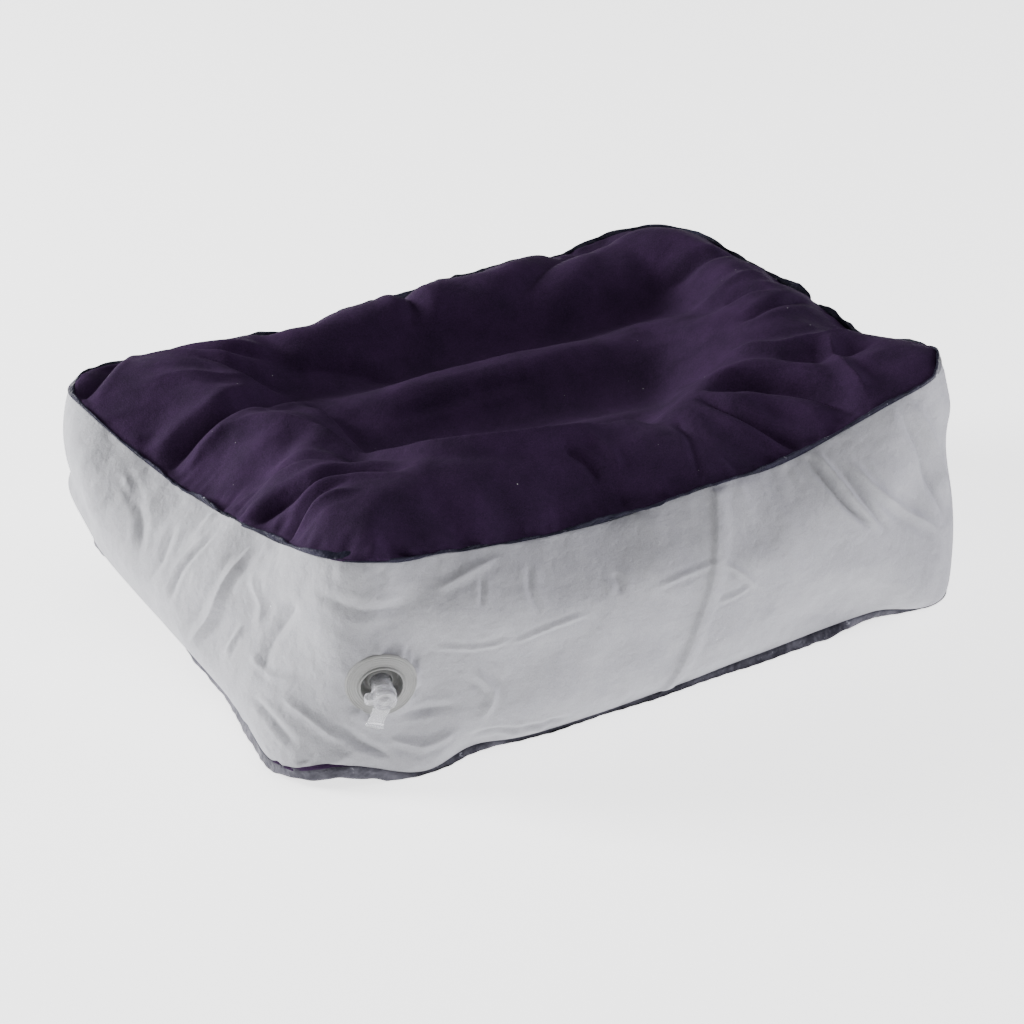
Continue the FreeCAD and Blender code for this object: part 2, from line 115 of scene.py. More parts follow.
class Pattern:
    """Index grids of the three sheets: top and bottom are columns by rows, wall is rows by loop."""

    def __init__(self, step):
        self.columns = round(PATTERN_LENGTH / step)
        self.rows = round(PATTERN_DEPTH / step)
        self.courses = round(WALL_HEIGHT / step)
        outline = self.panel_outline()
        count = outline.shape[0] * outline.shape[1]
        self.top = np.arange(count).reshape(outline.shape[:2])
        self.bottom = self.top + count
        ring = self.loop()
        around = len(ring[0])
        between = np.arange((self.courses - 1) * around).reshape(-1, around) + 2 * count
        self.wall = np.vstack([self.bottom[ring], between, self.top[ring]])
        edge = outline[ring]
        heights = np.linspace(0, WALL_HEIGHT, self.courses + 1)
        flat = outline.reshape(-1, 2)
        sheets = [(flat, WALL_HEIGHT), (flat, 0.0)] + [(edge, height) for height in heights[1:-1]]
        self.points = np.vstack([np.column_stack([xy, np.full(len(xy), z)]) for xy, z in sheets])
        gaps = np.linalg.norm(np.roll(edge, -1, axis=0) - edge, axis=1)
        self.along = np.concatenate([[0], np.cumsum(gaps)])
        self.heights = heights

    def panel_outline(self):
        """A grid over a panel whose edges follow the cut outline."""
        place_x, inset_y = pattern_side(PATTERN_LENGTH, self.columns)
        place_y, inset_x = pattern_side(PATTERN_DEPTH, self.rows)
        half_length, half_depth = PATTERN_LENGTH / 2, PATTERN_DEPTH / 2
        front = np.column_stack([place_x, inset_y - half_depth])[:, None]
        back = np.column_stack([place_x, half_depth - inset_y])[:, None]
        left = np.column_stack([inset_x - half_length, place_y])[None]
        right = np.column_stack([half_length - inset_x, place_y])[None]
        u = np.linspace(0, 1, self.columns + 1)[:, None, None]
        v = np.linspace(0, 1, self.rows + 1)[None, :, None]
        corners = (1 - v) * ((1 - u) * front[0, 0] + u * front[-1, 0])
        corners = corners + v * ((1 - u) * back[0, 0] + u * back[-1, 0])
        return (1 - v) * front + v * back + (1 - u) * left + u * right - corners

    def loop(self):
        """Column and row of each grid point round a panel's edge, from the front left corner."""
        columns, rows = np.arange(self.columns), np.arange(self.rows)
        around_columns = [columns, rows * 0 + self.columns, self.columns - columns, rows * 0]
        around_rows = [columns * 0, rows, columns * 0 + self.rows, self.rows - rows]
        return np.concatenate(around_columns), np.concatenate(around_rows)

    def faces(self):
        """Quads of the whole bag, facing outwards."""
        return np.vstack([
            grid_quads(self.top), grid_quads(self.bottom)[:, ::-1], grid_quads(self.wall.T, closed=True),
        ])


def grid_quads(grid, closed=False):
    """Quads between neighbours in a grid of vertex indices, joined end to end if it is closed."""
    if closed:
        grid = np.vstack([grid, grid[:1]])
    corners = (grid[:-1, :-1], grid[1:, :-1], grid[1:, 1:], grid[:-1, 1:])
    return np.stack(corners, axis=-1).reshape(-1, 4)


# ---------------------------------------------------------------- blowing the bag up


def wall_reach(height):
    """From the corner's upright axis to the outside of the CAD wall at a height."""
    return WALL_REACH - WALL_ARC + np.sqrt(WALL_ARC**2 - (height - WALL_WIDEST) ** 2)


def on_cad_wall(bearing, height):
    """A point outside the front left corner of the CAD wall."""
    reach = wall_reach(height)
    return np.stack([
        WALL_CORNER[0] - reach * np.sin(bearing), WALL_CORNER[1] - reach * np.cos(bearing), height,
    ], axis=-1)


def beyond_segment(points, start, end):
    """How far flat points are from a straight segment."""
    run = np.subtract(end, start)
    share = np.clip((points - start) @ run / (run @ run), 0, 1)
    return np.linalg.norm(points - start - share[..., None] * run, axis=-1)


def held_points(pattern, start):
    """Moves to their places, in start, the points that the bands, base and valve hold; returns them."""
    held = []
    flat = pattern.points
    for ends in BANDS:
        away = beyond_segment(flat[pattern.top][..., :2], *ends)
        line = pattern.top[away < BAND_HOLD]
        start[line, 2] = BAND_TOP
        held.append(line)
    base = pattern.bottom.ravel()
    inside = (np.abs(flat[base, 0]) < BASE_HELD[0]) & (np.abs(flat[base, 1]) < BASE_HELD[1])
    held.append(base[inside])
    along = pattern.along[:-1][None] + 0 * pattern.heights[:, None]
    height = pattern.heights[:, None] + 0 * along
    disc = np.hypot(along - VALVE_ALONG, height - VALVE_HEIGHT) < VALVE_HELD
    disc_points = pattern.wall[disc]
    bearing = VALVE_BEARING - (along[disc] - VALVE_ALONG) / wall_reach(VALVE_HEIGHT)
    start[disc_points] = on_cad_wall(bearing, height[disc])
    held.append(disc_points)
    return np.unique(np.concatenate(held))


def start_shape(pattern):
    """The cut sheets on their way to being blown up, so that the simulation starts close."""
    start = pattern.points.copy()
    top = pattern.top.ravel()
    for ends in BANDS:
        away = beyond_segment(pattern.points[top, :2], *ends)
        start[top, 2] -= (WALL_HEIGHT - BAND_TOP) * np.clip(1 - away / BAND_WIDTH, 0, 1)
    start += np.random.default_rng(SEED).normal(0, START_NOISE, start.shape)
    return start


def link(name, mesh):
    """An object of a mesh in the scene."""
    piece = bpy.data.objects.new(name, mesh)
    bpy.context.scene.collection.objects.link(piece)
    return piece


def mesh_of(name, points, faces):
    """A mesh from arrays of points and faces, shaded smooth."""
    mesh = bpy.data.meshes.new(name)
    mesh.from_pydata(np.asarray(points).tolist(), [], np.asarray(faces).tolist())
    mesh.polygons.foreach_set("use_smooth", [True] * len(mesh.polygons))
    mesh.update()
    return mesh


def add_cloth(bag, group):
    """The cloth settings of thin vinyl sheet that hardly stretches and is full of air."""
    cloth = bag.modifiers.new("Cloth", "CLOTH")
    cloth.point_cache.frame_start = 1
    cloth.point_cache.frame_end = SIM_FRAMES
    settings = cloth.settings
    settings.quality = 6
    settings.mass = 0.15
    settings.air_damping = 1.0
    settings.tension_stiffness = settings.compression_stiffness = 40
    settings.shear_stiffness = 10
    settings.bending_stiffness = 0.1
    settings.tension_damping = settings.compression_damping = settings.shear_damping = 5
    settings.bending_damping = 0.5
    settings.use_pressure = True
    settings.pressure_factor = PRESSURE
    settings.uniform_pressure_force = 0
    settings.use_pressure_volume = True
    settings.target_volume = AIR_VOLUME
    settings.effector_weights.gravity = 0
    settings.vertex_group_mass = group.name
    settings.pin_stiffness = 1.0
    settings.rest_shape_key = bag.data.shape_keys.key_blocks["Basis"]
    cloth.collision_settings.distance_min = 0.001


def add_ground():
    """A plate just under the bag that the simulation can't pass."""
    corners = [(-1, -1, 0), (1, -1, 0), (1, 1, 0), (-1, 1, 0)]
    ground = link("sim_ground", mesh_of("sim_ground", corners, [(0, 1, 2, 3)]))
    ground.location.z = -0.0015
    ground.modifiers.new("Collision", "COLLISION")
    ground.collision.thickness_outer = 0.001
    return ground


def inflate(pattern):
    """Simulates the bag filling with air and returns where its points come to rest."""
    start = start_shape(pattern)
    held = held_points(pattern, start)
    bag = link("sim_bag", mesh_of("sim_bag", pattern.points, pattern.faces()))
    group = bag.vertex_groups.new(name="held")
    group.add(held.tolist(), 1.0, "REPLACE")
    bag.shape_key_add(name="Basis")
    begin = bag.shape_key_add(name="start")
    begin.data.foreach_set("co", start.ravel())
    begin.value = 1.0
    add_cloth(bag, group)
    ground = add_ground()
    scene = bpy.context.scene
    scene.frame_start, scene.frame_end = 1, SIM_FRAMES
    for number in range(1, SIM_FRAMES + 1):
        scene.frame_set(number)
    evaluated = bag.evaluated_get(bpy.context.evaluated_depsgraph_get())
    blown = np.empty(len(start) * 3, np.float32)
    evaluated.to_mesh().vertices.foreach_get("co", blown)
    evaluated.to_mesh_clear()
    scene.frame_set(1)
    for helper in (bag, ground):
        bpy.data.objects.remove(helper)
    return blown.reshape(-1, 3).astype(float)


# ---------------------------------------------------------------- refining the blown shape

# How the bag settles unevenly, in millimetres: (place, reach of the pull, pull), hardly felt near the
# valve.
PULLS = (
    ((-200, 130, 130), (70, 70, 60), (-10, 12, -2)),
    ((-200, 130, 70), (60, 60, 40), (-24, 10, 0)),
    ((-198, 110, 95), (60, 60, 30), (-10, 8, 0)),
    ((-200, 130, 10), (110, 140, 50), (-4, 6, 34)),
    ((-203, 0, 113), (50, 90, 50), (-6, 0, -4)),
    ((-140, -60, 140), (40, 40, 40), (0, 0, -6)),
    ((-196, -128, 129), (60, 60, 50), (6, 4, 1)),
    ((-202, -131, 2), (60, 60, 50), (-20, 10, 6)),
    ((-185, -140, 4), (20, 30, 15), (0, -2, 10)),
    ((-152, -146, 3), (14, 20, 15), (0, -9, -4)),
    ((-122, -148, 4), (12, 20, 15), (0, 3, 5)),
    ((0, -132, 115), (240, 50, 50), (0, -13, -1)),
    ((30, -142, 8), (220, 50, 45), (0, -13, -6)),
    ((195, -127, 132), (55, 55, 45), (5, -2, 10)),
    ((199, -127, 140), (50, 50, 15), (4, -2, 0)),
    ((200, -130, 78), (60, 55, 38), (29, -6, 0)),
    ((188, -118, 95), (60, 55, 22), (7, -4, 0)),
    ((160, -60, 150), (50, 50, 40), (0, 0, -5)),
    ((205, -130, 40), (65, 70, 35), (8, -7, 0)),
    ((190, -132, 9), (70, 60, 45), (4, -12, -10)),
    ((201, -10, 119), (60, 100, 60), (6, 0, 13)),
    ((198, 129, 129), (70, 70, 60), (8, 2, -6)),
    ((110, 120, 130), (75, 50, 50), (0, 2, 8)),
    ((176, 60, 138), (28, 85, 50), (4, 0, 8)),
    ((-20, 136, 115), (180, 45, 60), (0, 9, 8)),
    ((-20, 102, 132), (200, 30, 50), (0, 4, 12)),
    ((0, 168, 60), (240, 80, 50), (0, -9, 0)),
)
VALVE_CALM = (0.026, 0.060)

# Folds in the top sheet, in millimetres: path over the flat sheet, half width, height (a valley where
# it is below zero), and how soft: 2 for a wave, and 1, a crisp crease, where nothing is said. Some of
# the points here and in WALL_FOLDS came from a separate measuring script and were then rounded and
# moved by hand.
TOP_FOLDS = (
    (((-225, 40), (-195, 48), (-168, 48), (-142, 56), (-98, 72)), 5.5, -9, 1.1),
    (((-222, 26), (-193, 36), (-170, 30), (-150, 4), (-126, -42), (-100, -74), (-60, -86), (-20, -90),
     (24, -85), (70, -80)), 6, 4.6),
    (((-214, 0), (-180, 10), (-156, -4)), 12, 2.2, 1.8),
    (((-225, -48), (-200, -51), (-177, -62), (-150, -68), (-118, -88)), 4.5, -6.6),
    (((-190, -22), (-168, -34), (-146, -54)), 3, -2.4),
    (((-224, -76), (-192, -75), (-160, -82)), 3.5, -4.4),
    (((-216, -88), (-188, -86), (-160, -92)), 3, 2),
    (((-172, 150), (-150, 122), (-130, 103), (-92, 94)), 3.5, -4.2),
    (((-150, 106), (-132, 86), (-98, 75)), 3, -3),
    (((-190, 98), (-150, 80), (-116, 78)), 4, 1.8, 1.2),
    (((-156, 156), (-176, 138), (-194, 120), (-224, 104)), 4.5, -6.5, 1.1),
    (((-112, 56), (-104, 20), (-110, -24)), 5, -3.4, 1.1),
    (((-36, -98), (-26, -112), (-24, -126)), 3, -3),
    (((-16, -94), (-10, -110), (-14, -124)), 3, 1.6, 1.1),
    (((55, -88), (36, -122), (26, -150)), 3, -1.4, 1.1),
    (((74, -82), (84, -104), (94, -122), (110, -150)), 4, -6.2),
    (((78, -78), (106, -88), (128, -106), (140, -126), (143, -150)), 7, -11),
    (((86, -70), (108, -78), (134, -94), (150, -122)), 4, 3.6),
    (((106, -76), (127, -88), (150, -112)), 3.5, -3.6),
    (((200, -80), (172, -78), (142, -73), (114, -46)), 6, 4.4),
    (((190, -98), (162, -96), (132, -82)), 6, -4.6, 1.1),
    (((174, -78), (159, -101), (153, -140)), 4, 4),
    (((155, 8), (168, -2), (182, -16)), 3.5, -3.4),
    (((144, -28), (175, -30), (204, -24)), 4, -3.6),
    (((140, 30), (175, 15), (215, 15)), 7, 3, 1.4),
    (((150, 70), (180, 62), (215, 62)), 5, -2.8, 1.2),
    (((6, 155), (2, 118), (-3, 102), (-16, 90)), 6, -5.6, 1.1),
    (((36, 140), (28, 120), (10, 96)), 8, 1.8, 1.4),
    (((39, 88), (82, 98), (140, 130), (190, 128)), 8, -5.5, 1.2),
    (((-100, 34), (-50, 30), (0, 26), (60, 20), (110, 12)), 16, 6, 1.7),
    (((-77, 16), (-15, 14), (38, 8)), 3, -2),
    (((-60, 38), (0, 34), (50, 28)), 3, 1.4, 1.1),
    (((-106, 94), (-62, 82), (-30, 64)), 4, -3.4),
)

# Folds in the wall, along it from the front left corner and up it, written the same way.
WALL_FOLDS = (
    (((186, 80), (210, 83), (233, 84)), 1.7, 1.6),
    (((232, 84), (246, 72), (257, 59)), 1.7, 1.8),
    (((227, 59), (240, 60), (253, 63)), 1.7, 1.5),
    (((310, 135), (320, 92), (340, 67)), 2.2, -3.6),
    (((316, 135), (326, 90), (345, 62)), 1.9, 2.7),
    (((324, 120), (333, 85), (350, 58)), 1.9, -2.7),
    (((332, 120), (338, 94), (362, 66), (392, 39)), 2.2, 3.8),
    (((368, 130), (380, 80), (397, 42)), 3.1, -4.5),
    (((378, 128), (390, 82), (406, 46)), 2.5, 3.4),
    (((53, 75), (80, 71), (102, 73)), 1.5, 1.6),
    (((94, 69), (122, 75), (148, 77)), 1.5, 1.6),
    (((85, 114), (83, 105), (81, 95)), 1.7, -1.8),
    (((164, 98), (166, 91), (166, 82)), 2.8, -1.8),
    (((53, 109), (80, 118), (104, 124)), 2.5, 2.1),
    (((0, 50), (20, 41), (49, 37), (77, 38)), 2.2, -2.4),
    (((0, 38), (20, 21), (41, 8)), 2.2, -2.9),
    (((77, 58), (89, 42), (82, 25)), 2.2, 2.5),
    (((73, 16), (110, 13), (145, 10)), 2.2, -2.1),
    (((-83, 128), (-91, 80), (-117, 27)), 3.1, 2.9),
    (((-197, 118), (-174, 101), (-162, 74)), 3.1, -2.4),
    (((-28, 105), (-47, 71), (-40, 40)), 3.7, -2.4),
    (((-110, 124), (-122, 90), (-131, 53)), 2.2, -2.3),
    (((-71, 72), (-76, 58), (-80, 45)), 1.9, 1.8),
    (((-200, 118), (-188, 112), (-178, 105)), 1.9, 1.6),
    (((-60, 58), (-40, 52), (-22, 56)), 2.2, 1.6),
    (((-30, 44), (-10, 36), (12, 22)), 2.2, 2.2),
    (((-50, 34), (-26, 28), (-4, 14)), 2.2, -2.4),
    (((30, 24), (52, 18), (74, 24)), 2.2, 2),
    (((-20, 112), (10, 104), (44, 104)), 3, -1.8, 1.2),
    (((-72, 110), (-60, 90), (-62, 70)), 3, 1.8, 1.1),
    (((118, 118), (112, 100), (116, 84)), 2.2, -1.4),
    (((-150, 112), (-142, 86), (-150, 62)), 3, -1.8, 1.1),
)
FOLD_POINTS = 24
FOLD_DIPS = 0.3
FOLD_ENDS = (0.25, 0.30)
PUCKER_SPACING = (0.007, 0.019)
PUCKER_LENGTH = (0.010, 0.034)
PUCKER_HEIGHT = 0.0011
PUCKER_WIDTH = (0.0022, 0.05)
PUCKER_FADE = 1.5


class ValveFrame:
    """The CAD valve's place: its origin on the outside of the wall, and its level, up and outward axes."""

    def __init__(self):
        flat = np.array([-math.sin(VALVE_BEARING), -math.cos(VALVE_BEARING), 0.0])
        self.level = np.array([math.cos(VALVE_BEARING), -math.sin(VALVE_BEARING), 0.0])
        self.axis = flat * math.cos(VALVE_DROOP) - np.array([0.0, 0.0, math.sin(VALVE_DROOP)])
        self.up = np.cross(self.axis, self.level)
        self.origin = on_cad_wall(VALVE_BEARING, np.array(VALVE_HEIGHT))

    def world(self, points):
        """Points given in millimetres along the level, up and outward axes, in the CAD frame."""
        points = np.asarray(points, float) * MM
        return self.origin + points @ np.array([self.level, self.up, self.axis])

    def local(self, points):
        """Points of the CAD frame in millimetres along the level, up and outward axes."""
        return (points - self.origin) @ np.array([self.level, self.up, self.axis]).T / MM

    def wall_rise(self, points):
        """The same (level, up) points, moved along the axis onto the CAD wall: their outward place."""
        points = np.array(points, float)
        points[..., 2] = 0.0
        for _ in range(6):
            place = self.world(points)
            reach = np.hypot(place[..., 0] - WALL_CORNER[0], place[..., 1] - WALL_CORNER[1])
            points[..., 2] += (wall_reach(place[..., 2]) - reach) / MM
        return points[..., 2]


VALVE = ValveFrame()


def settle(points):
    """Moves points as the bag's uneven corners pull them, leaving the valve and the floor alone."""
    moved = points.copy()
    for place, reach, pull in np.array(PULLS) * MM:
        away = np.linalg.norm((points - place) / reach, axis=-1, keepdims=True)
        moved += np.exp(-(away**2)) * pull
    from_valve = np.linalg.norm(points - VALVE.origin, axis=-1, keepdims=True)
    moved = points + (moved - points) * smoothstep(*VALVE_CALM, from_valve)
    moved[..., 2] = np.maximum(moved[..., 2], 0.0)
    return moved


def finer(grid, axis, closed=False):
    """The grid with a point added between each two along an axis, on a smooth curve through them."""
    grid = np.moveaxis(grid, axis, 0)
    if closed:
        padded = np.concatenate([grid[-1:], grid, grid[:2]])
    else:
        padded = np.concatenate([2 * grid[:1] - grid[1:2], grid, 2 * grid[-1:] - grid[-2:-1]])
    middle = (9 * (padded[1:-2] + padded[2:-1]) - padded[:-3] - padded[3:]) / 16
    result = np.empty((len(grid) + len(middle),) + grid.shape[1:])
    result[0::2] = grid
    result[1::2] = middle
    return np.moveaxis(result, 0, axis)


def smoothed(grid, rounds, weight):
    """The grid with each inner point moved towards its neighbours' mean, by weight, rounds times."""
    for _ in range(rounds):
        mean = (grid[:-2, 1:-1] + grid[2:, 1:-1] + grid[1:-1, :-2] + grid[1:-1, 2:]) / 4
        share = weight[1:-1, 1:-1, None]
        grid = grid.copy()
        grid[1:-1, 1:-1] += share * (mean - grid[1:-1, 1:-1])
    return grid


def smoothed_wall(points, rounds):
    """The wall's grid, rows round the bag, evened out everywhere but at the valve."""
    away = np.hypot(*np.moveaxis(VALVE.local(points)[..., :2], -1, 0)) * MM
    share = 0.5 * smoothstep(VALVE_HELD - 0.001, VALVE_HELD + 0.005, away)[..., None]
    for _ in range(rounds):
        across = (np.roll(points, 1, axis=0) + np.roll(points, -1, axis=0)) / 2
        mean = across.copy()
        mean[:, 1:-1] = (across[:, 1:-1] + (points[:, :-2] + points[:, 2:]) / 2) / 2
        points = points + share * (mean - points)
    return points


def slopes(grid, closed=False):
    """How a grid of points changes along its first and second axes."""
    if closed:
        first = (np.roll(grid, -1, axis=0) - np.roll(grid, 1, axis=0)) / 2
    else:
        first = np.gradient(grid, axis=0)
    return first, np.gradient(grid, axis=1)


def unit(vectors):
    """The vectors scaled to length 1."""
    return vectors / np.maximum(np.linalg.norm(vectors, axis=-1, keepdims=True), 1e-12)


def outward(grid, closed=False):
    """Unit normals of a grid of points: first axis crossed with second."""
    return unit(np.cross(*slopes(grid, closed)))


def smooth_path(points, count):
    """Points on a smooth open curve through the given ones."""
    path = np.array(points, float)
    for _ in range(3):
        path = finer(path[:, None], 0)[:, 0]
    gaps = np.concatenate([[0], np.cumsum(np.linalg.norm(np.diff(path, axis=0), axis=1))])
    at = np.linspace(0, gaps[-1], count)
    return np.column_stack([np.interp(at, gaps, path[:, axis]) for axis in range(path.shape[1])])


def fold_height(flat, around, path, half_width, height, power=1.0):
    """How far one fold lifts each flat point: a crest along its path with shallow dips beside it."""
    line = smooth_path(path, FOLD_POINTS) * MM
    half_width = half_width * MM
    if around:
        middle = line[:, 0].mean()
        wrapped = (flat[..., 0] - middle + around / 2) % around - around / 2 + middle
        flat = np.stack([wrapped, flat[..., 1]], axis=-1)
    reach = 4 * half_width
    near = ((flat > line.min(axis=0) - reach) & (flat < line.max(axis=0) + reach)).all(axis=-1)
    start, run = line[:-1], np.diff(line, axis=0)
    gap = flat[near][:, None] - start
    share = np.clip((gap * run).sum(axis=-1) / (run**2).sum(axis=-1), 0, 1)
    away = np.linalg.norm(gap - share[..., None] * run, axis=-1)
    nearest = away.argmin(axis=1)[:, None]
    along = (nearest + np.take_along_axis(share, nearest, 1))[:, 0] / len(run)
    away = np.take_along_axis(away, nearest, 1)[:, 0] / half_width
    crest = np.exp(-(away**power)) - FOLD_DIPS * np.exp(-((away - 2) ** 2))
    ends = smoothstep(0, FOLD_ENDS[0], along) * smoothstep(0, FOLD_ENDS[1], 1 - along)
    lift = np.zeros(flat.shape[:-1])
    lift[near] = height * MM * crest * ends
    return lift


def folds_lift(flat, around, folds):
    """Height of all the folds at flat points, which go round after that length if it isn't 0."""
    return sum(fold_height(flat, around, *fold) for fold in folds)


def puckers(edge_length, seed):
    """Small puckers square to a seam: where along it, how far they reach, and how high they are."""
    random = np.random.default_rng(seed)
    place = 0.0
    found = []
    while place < edge_length:
        found.append((place, random.uniform(*PUCKER_LENGTH), random.normal(0, PUCKER_HEIGHT)))
        place += random.uniform(*PUCKER_SPACING)
    return found


def pucker_lift(along, inset, edge_length, seed):
    """Height of all the puckers at points that far along a closed seam and that far in from it."""
    lift = np.zeros(along.shape)
    for place, reach, height in puckers(edge_length, seed):
        across = (along - place + edge_length / 2) % edge_length - edge_length / 2
        half_width = PUCKER_WIDTH[0] + PUCKER_WIDTH[1] * reach
        near = np.abs(across) < 4 * half_width
        fade = np.clip(1 - inset[near] / reach, 0, 1) ** PUCKER_FADE
        lift[near] += height * np.exp(-((across[near] / half_width) ** 2)) * fade
    return lift


# ---------------------------------------------------------------- meshes and pieces


def add_piece(name, mesh, body, material, slot, *nodes):
    """Puts a finished mesh in the scene on its body, in place of CAD nodes if any are named."""
    piece = link(name, mesh)
    piece.data.materials.append(material)
    if body:
        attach(piece, body)
    if nodes:
        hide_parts(*nodes)
    return piece


def sheet_mesh(name, grid, closed=False):
    """A mesh over a grid of points."""
    index = np.arange(grid.shape[0] * grid.shape[1]).reshape(grid.shape[:2])
    return mesh_of(name, grid.reshape(-1, 3), grid_quads(index, closed))


# ---------------------------------------------------------------- the seams

FIN_WIDTH = 0.0072
FIN_THICKNESS = 0.0013
FIN_ROOT = 0.0006
FIN_WAVES = ((0.0004, 0.023, 0.3), (0.0002, 0.0097, 1.9), (0.0007, 0.071, 4.0))
FIN_UNEVEN = 0.10
FIN_SMOOTHING = 0.012
FIN_DROOP = (0.25, 0.3)
FIN_SECTION = ((0.0, -0.5), (0.35, -0.42), (0.8, -0.55), (1.0, -0.3),
               (1.0, 0.3), (0.8, 0.55), (0.35, 0.42), (0.0, 0.5))


def waves(along, total):
    """A small uneven ripple that closes on itself after the seam's whole length."""
    ripple = 0 * along
    for height, length, shift in FIN_WAVES:
        turns = round(total / length)
        ripple = ripple + height * np.sin(2 * np.pi * turns * along / total + shift)
    return ripple


def evened(values, total):
    """Values round a closed line, each made the mean of those nearby."""
    count = len(values)
    reach = max(1, round(FIN_SMOOTHING * count / total))
    return sum(np.roll(values, step, axis=0) for step in range(-reach, reach + 1)) / (2 * reach + 1)


def fin_rings(seam, panel_inside, wall_inside, droop, along, total):
    """Cross-sections of a fin: it stands out between the panel's and the wall's directions, and droops."""
    direction = unit(unit(seam - panel_inside) + unit(seam - wall_inside))
    direction = unit(evened(direction, total) - [0, 0, droop])
    tangent = unit(evened(np.roll(seam, -1, axis=0) - np.roll(seam, 1, axis=0), total))
    side = unit(np.cross(tangent, direction))
    ripple = waves(along, total)
    width = FIN_WIDTH * (1 + FIN_UNEVEN * np.sin(2 * np.pi * along * round(total / FIN_WAVES[0][1]) / total))
    rings = []
    for reach, half in FIN_SECTION:
        place = seam + direction * (reach * width - FIN_ROOT)[:, None]
        rings.append(place + side * (half * FIN_THICKNESS + ripple * reach)[:, None])
    rings = np.stack(rings, axis=1)
    rings[..., 2] = np.maximum(rings[..., 2], 0.0)
    return rings


# ---------------------------------------------------------------- materials


class Nodes:
    """A short way to build a Principled material's node tree."""

    def __init__(self, name):
        self.material = bpy.data.materials.new(name)
        self.material.use_nodes = True
        self.tree = self.material.node_tree
        self.shader = self.tree.nodes["Principled BSDF"]
        self.place = self.add("ShaderNodeTexCoord").outputs["Object"]

    def add(self, kind, inputs=(), **settings):
        """A node of a kind, with its sockets set or linked by name or number."""
        node = self.tree.nodes.new(kind)
        for key, value in settings.items():
            setattr(node, key, value)
        for key, value in dict(inputs).items():
            if isinstance(value, bpy.types.NodeSocket):
                self.tree.links.new(value, node.inputs[key])
            else:
                node.inputs[key].default_value = value
        return node

    def noise(self, scale, detail=4.0, roughness=0.6):
        """A noise texture's value at this many cells per metre."""
        sockets = {"Vector": self.place, "Scale": scale, "Detail": detail, "Roughness": roughness}
        return self.add("ShaderNodeTexNoise", sockets).outputs["Fac"]

    def cells(self, scale):
        """Distance within a Voronoi texture's cells, at this many cells per metre."""
        sockets = {"Vector": self.place, "Scale": scale}
        return self.add("ShaderNodeTexVoronoi", sockets, feature="F1").outputs["Distance"]

    def between(self, value, low, high, to_low=0.0, to_high=1.0):
        """A value stretched from one range to another, and held inside it."""
        sockets = {"Value": value, 1: low, 2: high, 3: to_low, 4: to_high}
        return self.add("ShaderNodeMapRange", sockets).outputs["Result"]

    def maths(self, operation, first, second):
        """One arithmetic step."""
        return self.add("ShaderNodeMath", {0: first, 1: second}, operation=operation).outputs[0]

    def mix(self, share, first, second):
        """A colour between two, by share."""
        sockets = {"Factor": share, 6: first, 7: second}
        return self.add("ShaderNodeMix", sockets, data_type="RGBA").outputs[2]

    def bump(self, layers):
        """Gives the shader a stack of bumps, each (height, depth in metres)."""
        normal = None
        for height, depth in layers:
            sockets = {"Height": height, "Distance": depth, "Strength": 1.0}
            if normal:
                sockets["Normal"] = normal
            normal = self.add("ShaderNodeBump", sockets).outputs["Normal"]
        self.link("Normal", normal)

    def link(self, socket, value):
        """Links an output to one of the shader's sockets."""
        self.tree.links.new(value, self.shader.inputs[socket])

    def set(self, **sockets):
        """Sets constants on the shader's own sockets."""
        for key, value in sockets.items():
            self.shader.inputs[key.replace("_", " ")].default_value = value


def flock(name, deep, pale, lint, sheen, wave_depth, dent_depth):
    """Short flock on vinyl sheet: mottled pile, fine nap, soft waves and dents, and specks of lint."""
    nodes = Nodes(name)
    pile = nodes.noise(38, detail=5, roughness=0.65)
    nap = nodes.noise(1400, detail=3)
    brushed = nodes.maths("MULTIPLY_ADD", pile, 0.75)
    brushed.node.inputs[2].default_value = 0.12
    shade = nodes.maths("ADD", brushed, nodes.between(nap, 0.3, 0.7, -0.16, 0.16))
    color = nodes.mix(nodes.between(shade, 0.22, 0.82), deep, pale)
    specks = nodes.between(nodes.cells(95), 0.045, 0.02)
    thinned = nodes.maths("MULTIPLY", specks, nodes.between(nodes.noise(21, detail=1), 0.58, 0.66))
    nodes.link("Base Color", nodes.mix(thinned, color, lint))
    broad = nodes.noise(24, detail=5, roughness=0.5)
    nodes.bump([(broad, wave_depth), (nodes.noise(110, detail=4), dent_depth), (nap, 0.0003)])
    nodes.set(Roughness=0.92, Sheen_Weight=sheen, Sheen_Roughness=0.45, Specular_IOR_Level=0.15)
    nodes.shader.inputs["Sheen Tint"].default_value = pale
    return nodes.material


def seam_weld(name, dark, pale):
    """Melted vinyl: dark, uneven where the die pressed it, with pale flecks painted on as glints (painted
    highlights).
    """
    nodes = Nodes(name)
    color = nodes.mix(nodes.between(nodes.noise(60), 0.35, 0.65), dark, pale)
    # Pale flecks of painted highlight: glints painted into the weld's colour.
    painted_glints = nodes.between(nodes.noise(130, detail=5, roughness=0.7), 0.64, 0.70)
    nodes.link("Base Color", nodes.mix(painted_glints, color, PAINTED_GLINT))
    nodes.link("Roughness", nodes.between(nodes.noise(240), 0.3, 0.7, 0.28, 0.55))
    nodes.bump([(nodes.noise(210, detail=3), 0.0012), (nodes.cells(420), 0.0004)])
    nodes.set(Specular_IOR_Level=0.07)
    return nodes.material


def soft_moulding(name, dark, pale, roughness):
    """Satin moulded vinyl with a slightly uneven skin."""
    nodes = Nodes(name)
    nodes.link("Base Color", nodes.mix(nodes.noise(90), dark, pale))
    nodes.link("Roughness", nodes.between(nodes.noise(300), 0.3, 0.7, roughness - 0.08, roughness + 0.10))
    nodes.bump([(nodes.noise(420, detail=2), 0.00025)])
    nodes.set(Specular_IOR_Level=0.3)
    return nodes.material


